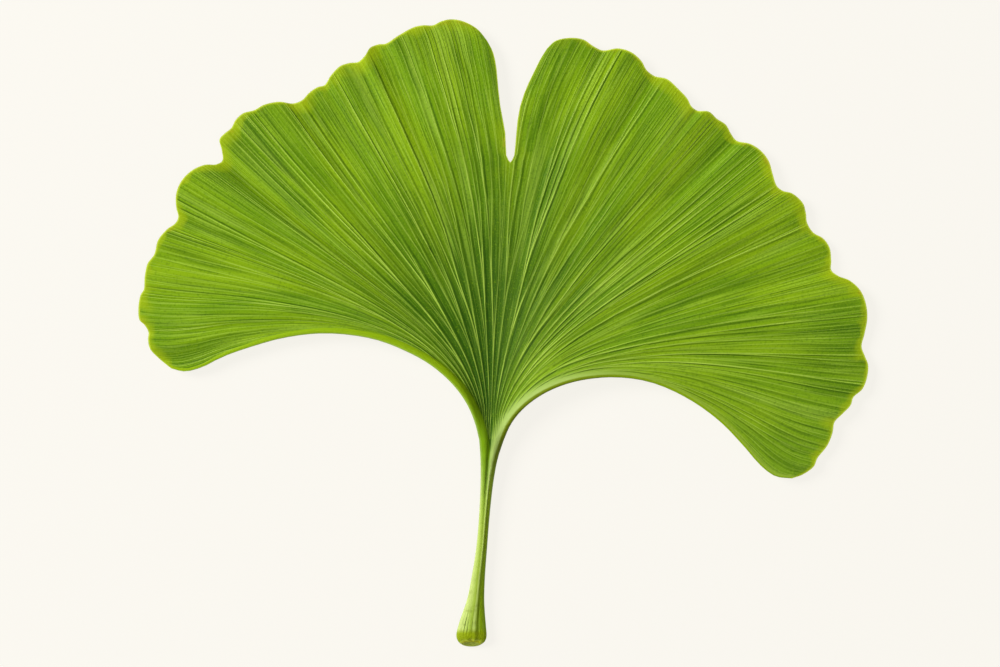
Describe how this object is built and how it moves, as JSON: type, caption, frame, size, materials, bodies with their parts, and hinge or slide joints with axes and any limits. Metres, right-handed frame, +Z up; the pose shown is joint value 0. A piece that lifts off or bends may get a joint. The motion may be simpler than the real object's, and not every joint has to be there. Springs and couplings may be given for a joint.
{
  "type": "ginkgo leaf",
  "caption": "Fan-shaped fresh green ginkgo leaf with a split scalloped far margin, fine forking veins and a short grooved stalk, lying face up.",
  "frame": {"origin": "centre of the leaf's outline seen from above, at the height of its lowest point", "axes": "+X across the fan to its longer right lobe, +Y from the stalk's cut end towards the notched far margin, +Z up out of the leaf's upper face"},
  "size_m": [0.08, 0.0688, 0.0029],
  "materials": {
    "leaf": "fresh leaf: soft satin, slightly waxy, yellow-green with paler veins"
  },
  "bodies": {
    "root": {"ginkgo_leaf": "leaf"}
  },
  "joints": []
}
